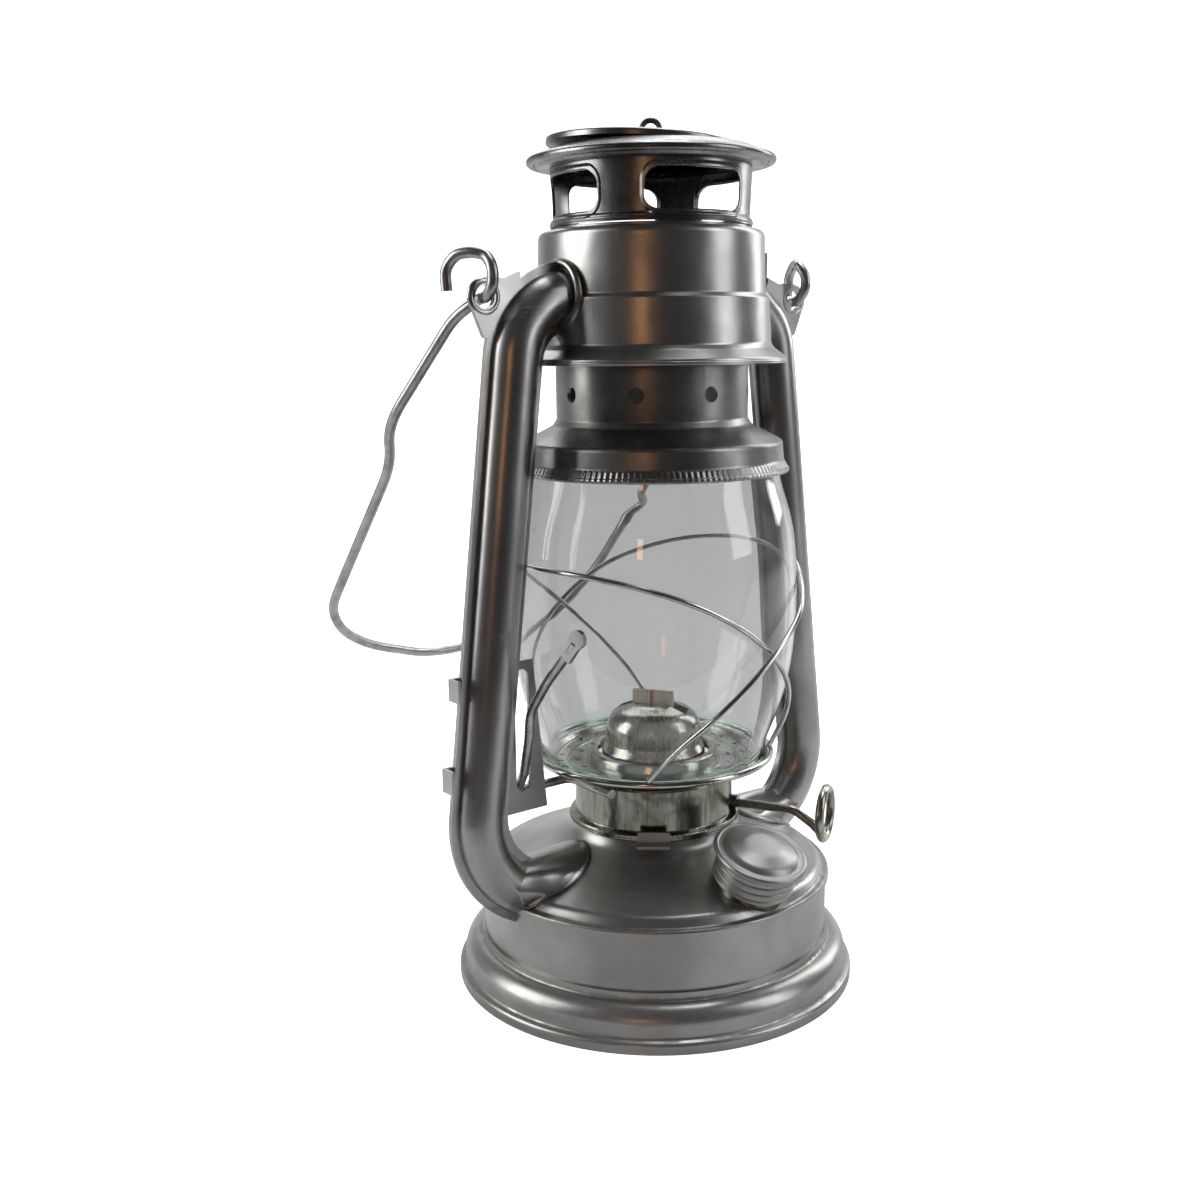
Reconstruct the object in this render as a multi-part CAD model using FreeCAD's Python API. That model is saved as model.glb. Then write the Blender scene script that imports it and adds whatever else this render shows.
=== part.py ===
import FreeCAD, Part
import math
import os

# Hurricane lantern: a round fuel tank, two pressed side tubes, a hood, a glass globe on a
# lifting plate, a flat-wick burner, a sliding chimney and a wire bail. Millimetres.
# The Z axis is the lantern's own axis, the side tubes lie in the XZ plane, and the
# filler cap faces -Y. The origin is the middle of the foot, on the table.

sheet = 0.8                 # thickness of the pressed tin
gap = 0.4                   # room between bodies that move past each other

footRadius = 59.0
tankRadius = 51.2
tankHeight = 31.0
neckRadius = 24.6
neckHeight = 45.4

tubeRadius = 6.9
tubeWall = 0.75
flangeReach = 9.05          # from a tube's centreline to the edge of its crimped seam
tubeTopHeight = 197.4
tubeCorners = [(-27.0, tubeTopHeight), (-45.2, tubeTopHeight), (-63.7, 43.6), (-36.0, 27.9)]
tubeBends = [18.0, 25.0]

hoodBottom = 179.2
hoodTop = 214.8
collarRadius = 23.3
deckHeight = 61.2
plateRadius = 35.4
plateHeight = 66.6
globeWall = 1.8
chimneyRadius = 27.1
crownBottom = 216.0
crownTop = 231.6

wickAngle = -60.0           # direction of the wick's width and of the crank shaft
wickWidth = 12.0
wickThickness = 2.4
wickTop = 84.2
crankHeight = 50.6
crankOffset = 5.3           # from the wick's middle plane to the crank shaft
crankWire = 1.3

fillerAt = (0.0, -46.0, 48.6)   # middle of the closed cap's top disc
fillerTilt = 20.0
fillerRadius = 13.2

bailAxisHeight = 202.0
bailWire = 1.5
bailLean = 41.0             # from straight down, towards +Y
eyeRadius = 5.2
earHole = (-55.8, 196.9)
earHoleRadius = 2.9

leverAxis = (4.0, 62.2)     # y and z of the lifting lever's pivot line
leverWire = 1.3


# ---- helpers -------------------------------------------------------------------------

def vec(x, y, z):
    return FreeCAD.Vector(x, y, z)


def polar(radius, angle, z):
    a = math.radians(angle)
    return vec(radius * math.cos(a), radius * math.sin(a), z)


def save(name, shape):
    if isinstance(shape, list):
        shape = Part.makeCompound(shape)
    shape.exportStep("parts/" + name + ".step")
    print(f"{name:22s} {shape.Volume:10.1f} mm3  solids {len(shape.Solids)}  valid {shape.isValid()}")


def bent_edges(points, bends):
    """Straight runs joined by tangent arcs; bends holds one radius per inner point."""
    edges = []
    start = points[0]
    for i in range(1, len(points) - 1):
        before = (points[i] - points[i - 1]).normalize()
        after = (points[i + 1] - points[i]).normalize()
        turn = before.getAngle(after)
        if bends[i - 1] <= 0 or turn < 1e-4:
            edges.append(Part.LineSegment(start, points[i]).toShape())
            start = points[i]
            continue
        reach = bends[i - 1] * math.tan(turn / 2)
        arcStart = points[i] - before * reach
        arcEnd = points[i] + after * reach
        inward = (after - before).normalize()
        rise = bends[i - 1] * (1 / math.cos(turn / 2) - 1)
        if (arcStart - start).Length > 1e-5:
            edges.append(Part.LineSegment(start, arcStart).toShape())
        edges.append(Part.Arc(arcStart, points[i] + inward * rise, arcEnd).toShape())
        start = arcEnd
    edges.append(Part.LineSegment(start, points[-1]).toShape())
    return edges


def largest_bends(points, share=0.47):
    """The largest radius at each inner point that its two runs have room for."""
    bends = []
    for i in range(1, len(points) - 1):
        before = points[i] - points[i - 1]
        after = points[i + 1] - points[i]
        turn = before.getAngle(after)
        run = min(before.Length, after.Length)
        bends.append(0 if turn < 1e-3 else share * run / math.tan(turn / 2))
    return bends


def wire_rod(points, radius, bends=None):
    """Round wire bent along the points."""
    bends = largest_bends(points) if bends is None else bends
    path = Part.Wire(bent_edges(points, bends))
    section = Part.Wire(Part.makeCircle(radius, points[0], points[1] - points[0]))
    return path.makePipeShell([section], True, False)


def offset_corners(corners, distance):
    """The corners of a line that runs beside this one, to the left of its direction."""
    ways = []
    for (r1, z1, _), (r2, z2, _) in zip(corners, corners[1:]):
        length = math.hypot(r2 - r1, z2 - z1)
        ways.append(((r2 - r1) / length, (z2 - z1) / length))
    moved = []
    for i, (r, z, bend) in enumerate(corners):
        way1 = ways[max(i - 1, 0)]
        way2 = ways[min(i, len(ways) - 1)]
        scale = distance / (1 + way1[0] * way2[0] + way1[1] * way2[1])
        turn = way1[0] * way2[1] - way1[1] * way2[0]
        newBend = max(bend - math.copysign(distance, turn), 0.05) if bend > 0 else 0
        moved.append((max(r - (way1[1] + way2[1]) * scale, 0.001), z + (way1[0] + way2[0]) * scale, newBend))
    return moved


def profile_edges(corners):
    points = [vec(r, 0, z) for r, z, _ in corners]
    return bent_edges(points, [bend for _, _, bend in corners[1:-1]])


def turned(edges):
    """Revolves a closed outline, drawn in the XZ plane, about the Z axis."""
    face = Part.Face(Part.Wire(Part.__sortEdges__(edges)))
    solid = face.revolve(vec(0, 0, 0), vec(0, 0, 1), 360)
    return solid if solid.Volume > 0 else solid.reversed()


def pressed(corners, thickness=sheet):
    """Thin sheet turned about Z. corners are (radius, height, bend radius) along its
    outer face, bottom to top; the sheet lies to the left of that direction."""
    inner = offset_corners(corners, thickness)
    ends = []
    for (r1, z1, _), (r2, z2, _) in ((corners[0], inner[0]), (corners[-1], inner[-1])):
        ends.append(Part.LineSegment(vec(r1, 0, z1), vec(r2, 0, z2)).toShape())
    return turned(profile_edges(corners) + profile_edges(inner) + ends)


def filled(corners):
    """The solid block inside a pressed outline, down to its axis."""
    (r1, z1, _), (r2, z2, _) = corners[0], corners[-1]
    axis = [(r2, z2), (0, z2), (0, z1), (r1, z1)]
    edges = profile_edges(corners)
    for (ra, za), (rb, zb) in zip(axis, axis[1:]):
        if abs(ra - rb) + abs(za - zb) > 1e-6:
            edges.append(Part.LineSegment(vec(ra, 0, za), vec(rb, 0, zb)).toShape())
    return turned(edges)


def smooth_shell(points, thickness):
    """Blown wall turned about Z: a smooth curve through (radius, height) points, with the
    wall inside it."""
    outer = Part.BSplineCurve()
    outer.interpolate([vec(r, 0, z) for r, z in points])
    samples = 4 * len(points)
    inside = []
    for i in range(samples + 1):
        at = outer.FirstParameter + (outer.LastParameter - outer.FirstParameter) * i / samples
        way = outer.tangent(at)[0]
        inside.append(outer.value(at) + vec(-way.z, 0, way.x) * thickness)
    inner = Part.BSplineCurve()
    inner.interpolate(inside)
    ends = [Part.LineSegment(vec(points[i][0], 0, points[i][1]), inside[i]).toShape() for i in (0, -1)]
    return turned([outer.toShape(), inner.toShape()] + ends)


def bead(radius, z, thickness):
    return Part.makeTorus(radius, thickness, vec(0, 0, z))


def mirrored(shape):
    return shape.mirror(vec(0, 0, 0), vec(1, 0, 0))


def one(shape):
    """A boolean's result as one plain solid."""
    shape = shape.removeSplitter()
    return shape.Solids[0] if len(shape.Solids) == 1 else shape


def fused(first, *others):
    return one(first.multiFuse(list(others)))


def box_at(low, high):
    size = [h - l for l, h in zip(low, high)]
    return Part.makeBox(size[0], size[1], size[2], vec(*low))


# ---- fuel tank ------------------------------------------------------------------------

footCorners = [(footRadius, 0, 0), (footRadius, 2.8, 1.2), (57.3, 3.7, 0.9), (56.9, 11.6, 5.6),
               (52.1, 12.0, 0.9), (52.05, 14.2, 0)]
tankTopCorners = [(52.0, 29.6, 0), (52.0, 31.6, 0.7), (50.4, 31.7, 0.9), (48.6, 34.2, 3.0), (39.0, 37.3, 20.0),
                  (29.5, 41.0, 14.0), (25.0, 44.2, 5.0), (neckRadius, 46.2, 0)]


def foot_ring():
    lip = bead(footRadius - 1.2, 1.2, 1.2)
    return fused(pressed(footCorners), lip)


def tank_wall():
    ring = Part.makeCylinder(tankRadius, tankHeight - 4.6, vec(0, 0, 4))
    return ring.cut(Part.makeCylinder(tankRadius - sheet, tankHeight, vec(0, 0, 3)))


def tank_bottom():
    radius = tankRadius - sheet
    corners = [(0.001, 0, 0), (33.0, 0, 3.0), (36.5, 4.4, 3.0), (radius - 1.2, 5.2, 0.9), (radius, 8.4, 0)]
    return pressed(corners)


def lower_tube_bore():
    return tube_pipe(tubeRadius - tubeWall - 0.3, [tubeCorners[1], tubeCorners[2], (-30.0, 24.2)], [tubeBends[1]])


def tank_block():
    return fused(filled(tankTopCorners), Part.makeCylinder(tankRadius, 26.0, vec(0, 0, 4)))


def tank_top(bores):
    top = pressed(tankTopCorners)
    top = top.cut(filler_place(Part.makeCylinder(9.65, 36, vec(0, 0, -28))))
    for bore in bores:
        top = top.cut(bore)
    return one(top)


def burner_socket():
    """Threaded cup soldered in the tank's neck, which the burner sits in."""
    corners = [(neckRadius - sheet - 0.05, 40.0, 0), (neckRadius - sheet - 0.05, 46.4, 0.4), (25.2, 46.5, 0.3), (25.2, 47.2, 0)]
    cup = pressed(corners, 0.7)
    return cup


# ---- filler ---------------------------------------------------------------------------

def filler_place(shape):
    """Puts a shape modelled about Z, with the closed cap's top at z = 0, on the tank."""
    shape = shape.copy()
    shape.rotate(vec(0, 0, 0), vec(1, 0, 0), fillerTilt)
    shape.translate(vec(*fillerAt))
    return shape


def filler_neck():
    neck = Part.makeCylinder(9.6, 19.0, vec(0, 0, -21.9)).cut(Part.makeCylinder(8.8, 24, vec(0, 0, -24)))
    for turn in range(3):
        neck = neck.fuse(bead(9.6, -4.8 - 2.2 * turn, 0.4))
    neck = neck.cut(Part.makeCylinder(8.8, 24, vec(0, 0, -24)))
    return one(filler_place(neck))


def filler_cap():
    """Spun cap: a domed disc with a rolled edge over a ribbed skirt."""
    corners = [(11.1, -10.6, 0), (11.1, -2.6, 0.4), (fillerRadius - 0.6, -2.5, 0.3), (fillerRadius - 0.2, -1.0, 0.5),
               (10.8, -0.9, 0.6), (9.4, 0.2, 3.0), (5.0, 1.5, 9.0), (0.001, 1.7, 0)]
    cap = pressed(corners, 0.7)
    cap = cap.fuse(bead(fillerRadius - 0.9, -1.7, 0.9))
    for rib in range(3):
        cap = cap.fuse(bead(11.0, -5.4 - 2.2 * rib, 0.45))
    return one(filler_place(cap))


def filler_gasket():
    ring = Part.makeCylinder(9.9, 0.9, vec(0, 0, -2.8)).cut(Part.makeCylinder(7.4, 3, vec(0, 0, -3)))
    return filler_place(ring)


# ---- side tubes -----------------------------------------------------------------------

def tube_pipe(radius, corners=None, bends=None):
    """Solid rod along the left tube's centreline."""
    corners = tubeCorners if corners is None else corners
    points = [vec(x, 0, z) for x, z in corners]
    return wire_rod(points, radius, tubeBends if bends is None else bends)


def tube_half(side):
    """One pressed half of the left tube: half a round channel with a flat flange on each
    edge. side is 1 for the half towards +Y."""
    points = [vec(x, 0, z) for x, z in tubeCorners]
    x = points[0].x
    inner = tubeRadius - tubeWall
    edge = 0.02

    def at(a, b):
        return vec(x, side * b, points[0].z + a)

    shoulder = math.sqrt(tubeRadius ** 2 - tubeWall ** 2)
    loop = [
        Part.LineSegment(at(-flangeReach, edge), at(-flangeReach, tubeWall)),
        Part.LineSegment(at(-flangeReach, tubeWall), at(-shoulder, tubeWall)),
        Part.Arc(at(-shoulder, tubeWall), at(0, tubeRadius), at(shoulder, tubeWall)),
        Part.LineSegment(at(shoulder, tubeWall), at(flangeReach, tubeWall)),
        Part.LineSegment(at(flangeReach, tubeWall), at(flangeReach, edge)),
        Part.LineSegment(at(flangeReach, edge), at(inner, edge)),
        Part.Arc(at(inner, edge), at(0, inner), at(-inner, edge)),
        Part.LineSegment(at(-inner, edge), at(-flangeReach, edge)),
    ]
    section = Part.Wire([piece.toShape() for piece in loop])
    path = Part.Wire(bent_edges(points, tubeBends))
    return path.makePipeShell([section], True, False), ear_plate(side, edge)


def ear_plate(side, edge):
    """The eyelet that the bail hooks through, one sheet thick, in line with the flange."""
    outline = [(-44.8, 203.4), (-49.5, 201.6), (-54.6, 202.2), (-58.8, 200.2), (-60.2, 196.6), (-58.9, 192.6),
               (-56.2, 186.4), (-48.0, 186.4), (-44.8, 194.0)]
    points = [vec(px, side * edge, pz) for px, pz in outline]
    lines = bent_edges(points, [0, 1.5, 3.5, 3.5, 3.0, 1.5, 0])
    lines.append(Part.LineSegment(points[-1], points[0]).toShape())
    plate = Part.Face(Part.Wire(lines)).extrude(vec(0, side * (tubeWall - edge), 0))
    rim = Part.makeTorus(earHoleRadius + 1.1, 0.95, vec(earHole[0], side * edge, earHole[1]), vec(0, 1, 0))
    rim = rim.common(box_at((-70, min(side * edge, side * 3), 180), (-40, max(side * edge, side * 3), 210)))
    hole = Part.makeCylinder(earHoleRadius, 4, vec(earHole[0], -2, earHole[1]), vec(0, 1, 0))
    return plate.fuse(rim).cut(hole).cut(tube_pipe(tubeRadius - 0.3))


def side_tube(side, blocks):
    half, ear = tube_half(side)
    half = half.fuse(ear)
    for block in blocks:
        half = half.cut(block)
    solids = sorted(half.Solids, key=lambda s: -s.Volume)
    return one(solids[0])


def mouth_collar(at, way, radius, blocks):
    """Rolled bead round a tube where it enters the hood or the tank."""
    ring = Part.makeTorus(radius, 1.15, at, way)
    for block in blocks:
        ring = ring.cut(block)
    return ring


# ---- hood -----------------------------------------------------------------------------

hoodCorners = [(37.7, hoodBottom, 0), (37.5, 180.7, 0.7), (34.3, 183.2, 1.5), (33.4, 184.4, 1.0), (32.8, 196.6, 0.6),
               (31.8, 197.8, 0.6), (31.3, hoodTop, 2.0), (chimneyRadius + 0.5, hoodTop + 0.3, 0)]


def hood_block():
    return filled(hoodCorners)


def hood(bores):
    shell = fused(pressed(hoodCorners), bead(37.2, hoodBottom + 0.5, 0.6))
    rib = box_at((-1.0, -32.2, 200.0), (1.0, -31.0, 209.0)).cut(Part.makeCylinder(31.0, 60, vec(0, 0, 170)))
    rib.rotate(vec(0, 0, 0), vec(0, 0, 1), 54)
    shell = shell.fuse(rib)
    for bore in bores:
        shell = shell.cut(bore)
    return one(shell)


# ---- burner ---------------------------------------------------------------------------

def burner_frame():
    """Placement that turns +X to the wick's width and to the crank's outer end."""
    return FreeCAD.Rotation(vec(0, 0, 1), wickAngle)


def burner_place(shape):
    shape = shape.copy()
    shape.rotate(vec(0, 0, 0), vec(0, 0, 1), wickAngle)
    return shape


def burner_collar():
    corners = [(25.0, 47.3, 0), (25.0, 48.2, 0.4), (collarRadius, 48.6, 0.4), (collarRadius, deckHeight, 1.0), (16.4, deckHeight, 0)]
    collar = pressed(corners)
    hole = burner_place(Part.makeCylinder(2.5, 12, vec(17, crankOffset, crankHeight), vec(1, 0, 0)))
    return one(collar.cut(hole))


def burner_base():
    """Dished plate across the collar's foot, with the wick tube's slot and air holes."""
    disc = Part.makeCylinder(22.2, 0.8, vec(0, 0, 47.4))
    slot = burner_place(box_at((-7.8, -2.9, 46), (7.8, 10.0, 50)))
    disc = disc.cut(slot)
    for hole in range(12):
        disc = disc.cut(Part.makeCylinder(1.4, 4, polar(17.5, 30 * hole, 46)))
    return one(disc)


def burner_clip():
    """Bent tab at the front that holds the collar down on the tank's neck."""
    tab = box_at((25.3, -4.6, 45.4), (26.1, 4.6, 49.6)).fuse(box_at((25.3, -4.6, 45.4), (28.0, 4.6, 46.2)))
    tab.rotate(vec(0, 0, 0), vec(0, 0, 1), -130)
    return one(tab)


def wick_tube():
    outer = box_at((-7.1, -2.3, 36), (7.1, 2.3, 76.5))
    inner = box_at((-6.4, -1.6, 30), (6.4, 1.6, 80))
    tube = outer.cut(inner)
    for at in (-3.6, 3.6):
        tube = tube.cut(box_at((at - 0.9, 1.2, crankHeight - 4.4), (at + 0.9, 3.5, crankHeight + 4.4)))
    return one(burner_place(tube))


def crank_bearings():
    """Two eyes that carry the crank: a bush in the collar and a lug on the wick tube."""
    bore = crankWire + 0.06
    bush = Part.makeCylinder(2.4, 4.4, vec(20.2, crankOffset, crankHeight), vec(1, 0, 0))
    lug = Part.makeCylinder(2.6, 1.0, vec(-6.2, crankOffset, crankHeight), vec(1, 0, 0))
    lug = lug.fuse(box_at((-6.2, 2.35, crankHeight - 2.0), (-5.2, 4.0, crankHeight + 2.0)))
    drill = Part.makeCylinder(bore, 60, vec(-20, crankOffset, crankHeight), vec(1, 0, 0))
    return [burner_place(one(piece.cut(drill))) for piece in (bush, lug)]


def burner_dome():
    corners = [(15.4, deckHeight - 0.6, 0), (15.2, 67.6, 1.0), (13.9, 69.6, 1.5), (14.0, 77.6, 6.5), (6.0, 80.7, 8.0), (0.001, 80.9, 0)]
    dome = pressed(corners, 0.7)
    slot = burner_place(box_at((-10.6, -2.4, 73), (10.6, 2.4, 90)))
    return one(dome.cut(slot))


def wick():
    strip = box_at((-wickWidth / 2, -wickThickness / 2, 16), (wickWidth / 2, wickThickness / 2, wickTop))
    return burner_place(strip)


def wick_shaft():
    """Wire crank: a straight shaft, cranked down to a finger ring that is round the axis."""
    ringRadius = 7.2
    ringAt = 50.8
    points = [vec(-8.0, 0, 0), vec(41.5, 0, 0), vec(47.0, 0, -3.6), vec(ringAt, 0, -ringRadius)]
    shaft = wire_rod(points, crankWire, [5.0, 5.0])
    ring = Part.makeTorus(ringRadius, crankWire, vec(ringAt, 0, 0), vec(1, 0, 0))
    crank = one(shaft.fuse(ring))
    crank.translate(vec(0, crankOffset, crankHeight))
    return burner_place(crank)


def wick_wheels():
    """Two star wheels fixed on the shaft, with teeth that grip the wick."""
    wheels = []
    for at in (-3.6, 3.6):
        wheel = Part.makeCylinder(2.6, 0.9, vec(at - 0.45, 0, 0), vec(1, 0, 0))
        for tooth in range(8):
            spike = box_at((at - 0.45, -0.5, 1.8), (at + 0.45, 0.5, 3.9))
            spike.rotate(vec(0, 0, 0), vec(1, 0, 0), 45 * tooth)
            wheel = wheel.fuse(spike)
        wheel = wheel.cut(Part.makeCylinder(crankWire, 8, vec(at - 4, 0, 0), vec(1, 0, 0)))
        wheel.translate(vec(0, crankOffset, crankHeight))
        wheels.append(burner_place(one(wheel)))
    return wheels


# ---- globe and its lifting plate --------------------------------------------------------

def globe_plate():
    corners = [(34.6, plateHeight - 0.9, 0), (30.9, plateHeight - 0.9, 0.4), (30.4, 64.0, 0.4), (18.4, 64.0, 0.6),
               (17.6, 67.0, 0.4), (16.6, 67.0, 0)]
    dish = pressed([(r, z, b) for r, z, b in reversed(corners)], 0.7)
    plate = dish.fuse(bead(plateRadius - 1.15, plateHeight - 0.3, 1.15))
    for hole in range(24):
        plate = plate.cut(Part.makeCylinder(1.1, 4, polar(27.4, 15 * hole, 62)))
    for hole in range(18):
        plate = plate.cut(Part.makeCylinder(0.9, 4, polar(22.2, 20 * hole + 7, 62)))
    return one(plate)


globePoints = [(33.0, plateHeight + 0.0), (33.1, 69.5), (35.4, 76.5), (38.6, 86.0), (40.6, 97.0), (41.4, 109.0),
               (41.4, 119.0), (40.6, 130.0), (38.6, 139.5), (36.6, 146.5), (35.9, 151.5), (35.8, 156.4)]


def globe_glass():
    return smooth_shell(globePoints, globeWall)


guardAngles = [-136.5, -124, -112, -98, -82, -66, -50, -33, -16.5, 0, 16.5, 33, 50, 66, 82, 98, 112, 124, 136.5]


def guard_wire(middle, frontWay, bulge):
    """Wire that leans round the globe from one rim hole to another, highest at middle.
    frontWay is the end that drops in the straighter line. bulge takes one wire over the
    other where they cross."""
    points = []
    for away in guardAngles:
        share = abs(away) / 136.5
        drop = 58.0 * share ** 2.5
        if away * frontWay > 0:
            drop = 58.0 * share ** 1.9
        height = 125.5 - drop
        radius = 42.9 if height > 100 else 42.9 - 8.1 * ((100 - height) / 31.0) ** 2
        if 50 < abs(away) < 115:
            radius += bulge
        points.append(polar(radius, middle + away, height))
    points[0].z = plateHeight
    points[-1].z = plateHeight
    return wire_rod(points, 0.75)


# ---- chimney ----------------------------------------------------------------------------

guardCorners = [(38.4, 149.2, 0), (38.4, 150.4, 0.6), (37.3, 152.4, 1.2), (36.9, 157.6, 1.6), (28.2, 162.2, 1.6),
                (chimneyRadius, 164.0, 0.8), (chimneyRadius, crownBottom - 0.2, 0)]


def chimney_tube():
    """Globe holder, perforated chimney and the sleeve that slides in the hood, in one."""
    tube = fused(pressed(guardCorners), bead(38.1, 149.6, 0.75))
    for hole in range(8):
        tube = tube.cut(Part.makeCylinder(2.15, 12, polar(22, 45 * hole - 4, 171.2), polar(1, 45 * hole - 4, 0)))
    return one(tube)


def globe_stop():
    """Ring inside the holder that bears on the globe's top edge."""
    return Part.makeCylinder(34.9, 0.8, vec(0, 0, 156.8)).cut(Part.makeCylinder(32.2, 3, vec(0, 0, 156)))


def spring_seat():
    return Part.makeCylinder(30.4, 0.9, vec(0, 0, 181)).cut(Part.makeCylinder(chimneyRadius + 0.02, 3, vec(0, 0, 180)))


def hood_spring():
    """Wire spring round the sleeve, between its seat and the hood's top."""
    low, high, turns, perTurn = 182.6, hoodTop - 3.0, 5, 6

    def at(step):
        return polar(28.9, 360 * step / perTurn, low + (high - low) * step / (turns * perTurn))

    arcs = [Part.Arc(at(i), at(i + 0.5), at(i + 1)).toShape() for i in range(turns * perTurn)]
    section = Part.Wire(Part.makeCircle(0.6, at(0), at(0.05) - at(0)))
    return Part.Wire(arcs).makePipeShell([section], True, False)


def crown():
    """Vent ring with four large rounded windows between wide posts."""
    corners = [(27.9, crownBottom, 0), (27.9, crownBottom + 1.6, 0.5), (chimneyRadius + 0.1, crownBottom + 2.2, 0.4), (27.8, crownTop, 0)]
    ring = fused(pressed(corners, 0.7), bead(27.4, crownBottom + 0.75, 0.7))
    for window in range(4):
        ring = ring.cut(crown_window(90 * window - 12))
    return one(ring)


def crown_window(angle):
    """Cutter for one window: a wedge of air with rounded corners."""
    halfWidth, low, high, corner = 14.4, 218.9, 229.3, 3.6
    points = [vec(20, -halfWidth, low), vec(20, halfWidth, low), vec(20, halfWidth, high), vec(20, -halfWidth, high)]
    middle = (points[0] + points[1]) * 0.5
    lines = bent_edges([middle] + points[1:] + [points[0], middle], [corner] * 4)
    cutter = Part.Face(Part.Wire(lines)).extrude(vec(12, 0, 0))
    cutter.rotate(vec(0, 0, 0), vec(0, 0, 1), angle)
    return cutter


def cap_lid():
    corners = [(27.6, crownTop + 0.1, 0), (31.0, crownTop + 0.2, 0.6), (33.6, 234.3, 1.4), (27.5, 236.9, 6.0), (0.001, 238.6, 0)]
    return fused(pressed(corners), bead(33.2, 233.5, 1.1))


def cap_disc():
    """Raised inner disc, a little proud at one side."""
    corners = [(26.4, -1.5, 0), (26.4, 0.1, 0.7), (24.8, 0.4, 0.5), (20.0, 1.2, 6.0), (0.001, 1.8, 0)]
    disc = filled(corners)
    disc.rotate(vec(0, 0, 0), polar(1, 52, 0), 2.8)
    disc.translate(polar(2.4, 142, 238.7))
    return one(disc.cut(filled([(35, 220, 0), (33.6, 234.3, 1.4), (27.5, 236.9, 6.0), (0.001, 238.62, 0)])))


def lift_ring():
    """Small wire loop that lifts the chimney off the globe."""
    loop = Part.makeTorus(2.5, 0.8, vec(0, 0, 242.0), polar(1, 50, 0))
    return one(loop.cut(cap_disc()))


# ---- bail --------------------------------------------------------------------------------

def bail_point(x, along):
    """A point of the bail's plane: x across, along its lean from the hinge line."""
    lean = math.radians(bailLean)
    return vec(x, along * math.sin(lean), bailAxisHeight - along * math.cos(lean))


def eye_point(x, radius, angle):
    a = math.radians(angle)
    return vec(x, radius * math.sin(a), bailAxisHeight - radius * math.cos(a))


def bail():
    """One wire: an open eye through each ear, two cranked arms and a dipped grip."""
    corner = eyeRadius / math.cos(math.radians(23))
    eye = [eye_point(-61.8, 8.6, 66), eye_point(-62.2, 8.2, 104), eye_point(-60.8, 7.2, 142), eye_point(-58.2, 6.0, 176)]
    eye += [eye_point(-56.2, corner, angle) for angle in (-158, -112, -66, -21, 12)]
    left = eye + [bail_point(-59.4, 13.6), bail_point(-66.2, 50.9), bail_point(-60.0, 66.9), bail_point(-60.4, 130.0)]
    left += [bail_point(-52.5, 143.0), bail_point(-39.2, 153.1), bail_point(-8.0, 166.0)]
    right = [bail_point(23.8, 157.1), bail_point(34.0, 147.0), bail_point(42.4, 126.6), bail_point(43.2, 103.0)]
    right += [bail_point(49.0, 94.6), bail_point(43.0, 89.0), bail_point(47.0, 72.0), bail_point(59.4, 13.6)]
    right += [vec(-p.x, p.y, p.z) for p in reversed(eye)]
    points = left + right
    return wire_rod(points, bailWire, largest_bends(points, 0.44))


# ---- globe lifter ---------------------------------------------------------------------------

def lifter_bracket():
    """Saddle round the back of the left tube, with a slotted wing towards the globe and
    two tabs over the outer flange."""
    back = tube_pipe(tubeRadius + 0.85).cut(tube_pipe(tubeRadius + 0.05))
    saddle = back.common(box_at((-80, 0.78, 57), (-40, 12, 98)))
    wing = [(-53.6, 57.0), (-38.4, 57.0), (-42.4, 100.0), (-50.4, 100.0)]
    points = [vec(x, 0.78, z) for x, z in wing]
    plate = Part.Face(Part.makePolygon(points + [points[0]])).extrude(vec(0, 0.9, 0))
    slot = Part.makeCylinder(2.3, 4, vec(-46.3, -1, 65.0), vec(0, 1, 0))
    slot = slot.fuse(Part.makeCylinder(2.3, 4, vec(-46.3, -1, 95.4), vec(0, 1, 0)))
    slot = slot.fuse(box_at((-48.6, -1, 65.0), (-44.0, 3, 95.4)))
    bracket = saddle.fuse(plate.cut(tube_pipe(tubeRadius + 0.05)).cut(slot))
    for low, high, reach in ((92.5, 98.5, -68.4), (68.0, 74.5, -71.2)):
        tab = box_at((reach, 0.78, low), (reach + 8.0, 1.68, high))
        tab = tab.fuse(box_at((reach - 0.6, -3.2, low), (reach + 0.2, 1.68, high)))
        bracket = bracket.fuse(tab.cut(tube_pipe(tubeRadius + 0.05)))
    for at in (-51.4, -41.2):
        eye = Part.makeCylinder(2.5, 1.6, vec(at, leverAxis[0], leverAxis[1]), vec(1, 0, 0))
        eye = eye.fuse(box_at((at, 1.2, leverAxis[1] - 1.6), (at + 1.6, leverAxis[0], leverAxis[1] + 1.6)))
        bracket = bracket.fuse(eye)
    bore = Part.makeCylinder(leverWire + 0.06, 16, vec(-54, leverAxis[0], leverAxis[1]), vec(1, 0, 0))
    return one(bracket.cut(bore).cut(tube_pipe(tubeRadius + 0.02)))


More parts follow.
